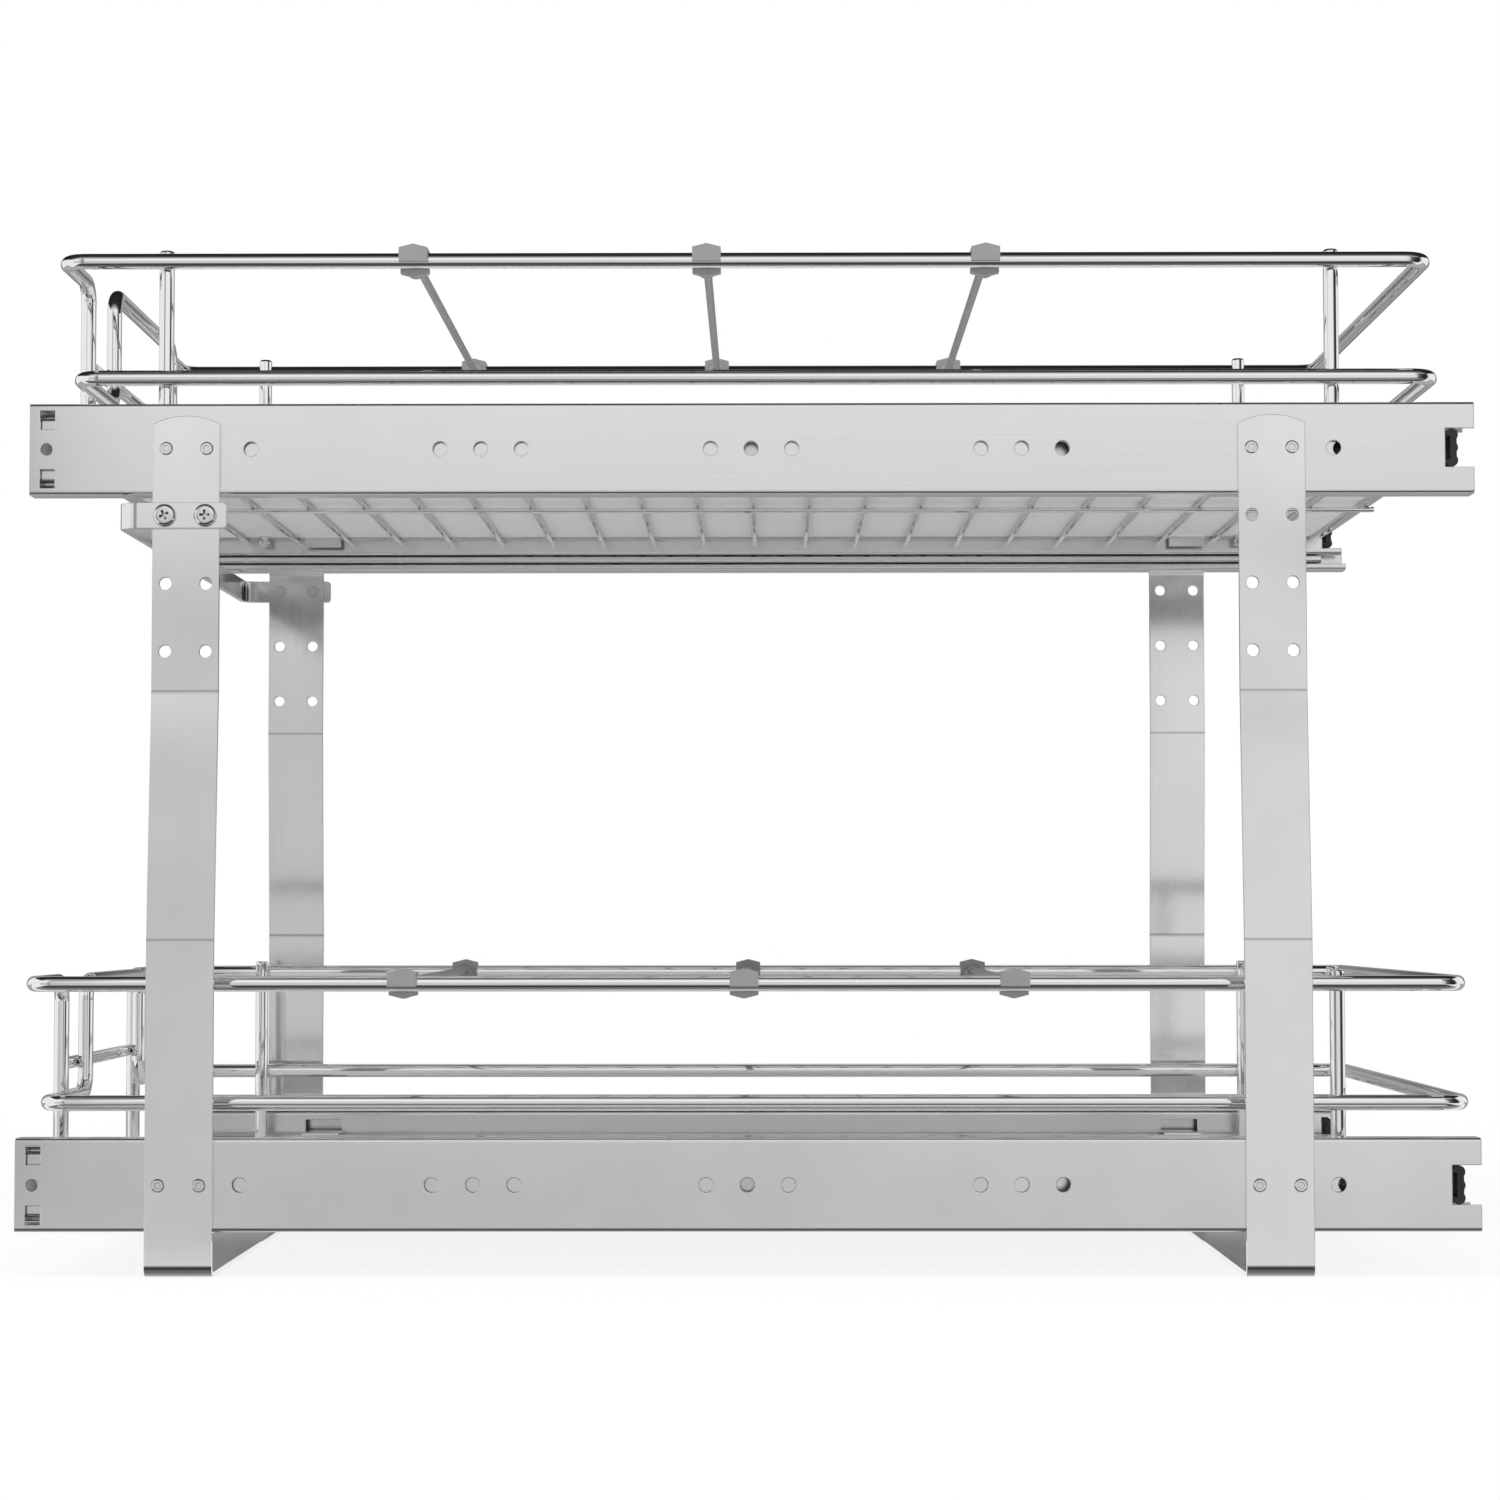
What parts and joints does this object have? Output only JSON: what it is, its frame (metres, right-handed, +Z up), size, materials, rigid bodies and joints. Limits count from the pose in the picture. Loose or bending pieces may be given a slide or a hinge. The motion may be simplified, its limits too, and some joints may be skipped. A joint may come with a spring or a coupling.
{
  "type": "pull-out cabinet organizer",
  "caption": "Two-tier pull-out cabinet organizer: chrome wire baskets on full-extension ball-bearing slides between two bent steel straps, with sliding plastic dividers.",
  "frame": {"origin": "centre of the bounding box on the cabinet floor, below the straps", "axes": "+Z up, -Y is the front that the baskets pull out to, +X is the side that the picture is taken from"},
  "size_m": [0.3188, 0.5539, 0.3938],
  "materials": {
    "chrome_wire": "bright chrome plating",
    "bright_strap": "bright nickel over faint brushing",
    "slide_steel": "satin zinc-plated steel",
    "cage_steel": "zinc-plated pressed steel",
    "ball_steel": "polished bearing steel",
    "fastener": "bright plated steel",
    "bumper_rubber": "matte black rubber",
    "liner_plastic": "smooth grey plastic sheet",
    "divider_plastic": "matte grey plastic"
  },
  "bodies": {
    "frame": {"front_strap": "bright_strap", "rear_strap": "bright_strap", "front_cross_strip": "bright_strap", "cross_strip_screws": "fastener", "lower_slide_rivets": "fastener", "lower_rear_bumpers": "bumper_rubber", "lower_right_outer_member": "slide_steel", "lower_left_outer_member": "slide_steel", "upper_slide_rivets": "fastener", "upper_rear_bumpers": "bumper_rubber", "upper_right_outer_member": "slide_steel", "upper_left_outer_member": "slide_steel"},
    "lower_intermediates": {"lower_right_intermediate_member": "slide_steel", "lower_left_intermediate_member": "slide_steel"},
    "lower_outer_cages": {"lower_outer_ball_cages": "cage_steel", "lower_outer_balls": "ball_steel"},
    "lower_inner_cages": {"lower_inner_ball_cages": "cage_steel", "lower_inner_balls": "ball_steel"},
    "lower_basket": {"lower_right_inner_member": "slide_steel", "lower_left_inner_member": "slide_steel", "lower_top_rail": "chrome_wire", "lower_lower_rail": "chrome_wire", "lower_front_rod": "chrome_wire", "lower_basket_posts": "chrome_wire", "lower_basket_floor": "chrome_wire", "lower_floor_liner": "liner_plastic"},
    "lower_divider_1_set": {"lower_divider_1": "divider_plastic"},
    "lower_divider_2_set": {"lower_divider_2": "divider_plastic"},
    "lower_divider_3_set": {"lower_divider_3": "divider_plastic"},
    "upper_intermediates": {"upper_right_intermediate_member": "slide_steel", "upper_left_intermediate_member": "slide_steel"},
    "upper_outer_cages": {"upper_outer_ball_cages": "cage_steel", "upper_outer_balls": "ball_steel"},
    "upper_inner_cages": {"upper_inner_ball_cages": "cage_steel", "upper_inner_balls": "ball_steel"},
    "upper_basket": {"upper_right_inner_member": "slide_steel", "upper_left_inner_member": "slide_steel", "upper_top_rail": "chrome_wire", "upper_lower_rail": "chrome_wire", "upper_front_rod": "chrome_wire", "upper_basket_posts": "chrome_wire", "upper_basket_floor": "chrome_wire", "upper_floor_liner": "liner_plastic"},
    "upper_divider_1_set": {"upper_divider_1": "divider_plastic"},
    "upper_divider_2_set": {"upper_divider_2": "divider_plastic"},
    "upper_divider_3_set": {"upper_divider_3": "divider_plastic"}
  },
  "joints": [
    {"name": "lower_basket_slide", "type": "slide", "parent": "frame", "child": "lower_basket", "axis": [0, -1, 0], "range_m": [0, 0.53]},
    {"name": "lower_intermediates_slide", "type": "slide", "parent": "frame", "child": "lower_intermediates", "axis": [0, -1, 0], "range_m": [0, 0.265]},
    {"name": "lower_outer_cages_slide", "type": "slide", "parent": "frame", "child": "lower_outer_cages", "axis": [0, -1, 0], "range_m": [0, 0.1325]},
    {"name": "lower_inner_cages_slide", "type": "slide", "parent": "frame", "child": "lower_inner_cages", "axis": [0, -1, 0], "range_m": [0, 0.3975]},
    {"name": "lower_divider_1_slide", "type": "slide", "parent": "lower_basket", "child": "lower_divider_1_set", "axis": [0, 1, 0], "range_m": [-0.045, 0.045]},
    {"name": "lower_divider_2_slide", "type": "slide", "parent": "lower_basket", "child": "lower_divider_2_set", "axis": [0, 1, 0], "range_m": [-0.045, 0.045]},
    {"name": "lower_divider_3_slide", "type": "slide", "parent": "lower_basket", "child": "lower_divider_3_set", "axis": [0, 1, 0], "range_m": [-0.045, 0.045]},
    {"name": "upper_basket_slide", "type": "slide", "parent": "frame", "child": "upper_basket", "axis": [0, -1, 0], "range_m": [0, 0.53]},
    {"name": "upper_intermediates_slide", "type": "slide", "parent": "frame", "child": "upper_intermediates", "axis": [0, -1, 0], "range_m": [0, 0.265]},
    {"name": "upper_outer_cages_slide", "type": "slide", "parent": "frame", "child": "upper_outer_cages", "axis": [0, -1, 0], "range_m": [0, 0.1325]},
    {"name": "upper_inner_cages_slide", "type": "slide", "parent": "frame", "child": "upper_inner_cages", "axis": [0, -1, 0], "range_m": [0, 0.3975]},
    {"name": "upper_divider_1_slide", "type": "slide", "parent": "upper_basket", "child": "upper_divider_1_set", "axis": [0, 1, 0], "range_m": [-0.045, 0.045]},
    {"name": "upper_divider_2_slide", "type": "slide", "parent": "upper_basket", "child": "upper_divider_2_set", "axis": [0, 1, 0], "range_m": [-0.045, 0.045]},
    {"name": "upper_divider_3_slide", "type": "slide", "parent": "upper_basket", "child": "upper_divider_3_set", "axis": [0, 1, 0], "range_m": [-0.045, 0.045]}
  ],
  "couplings": [
    {"joint": "lower_intermediates_slide", "follows": "lower_basket_slide", "ratio": 0.5},
    {"joint": "lower_outer_cages_slide", "follows": "lower_basket_slide", "ratio": 0.25},
    {"joint": "lower_inner_cages_slide", "follows": "lower_basket_slide", "ratio": 0.75},
    {"joint": "upper_intermediates_slide", "follows": "upper_basket_slide", "ratio": 0.5},
    {"joint": "upper_outer_cages_slide", "follows": "upper_basket_slide", "ratio": 0.25},
    {"joint": "upper_inner_cages_slide", "follows": "upper_basket_slide", "ratio": 0.75}
  ]
}
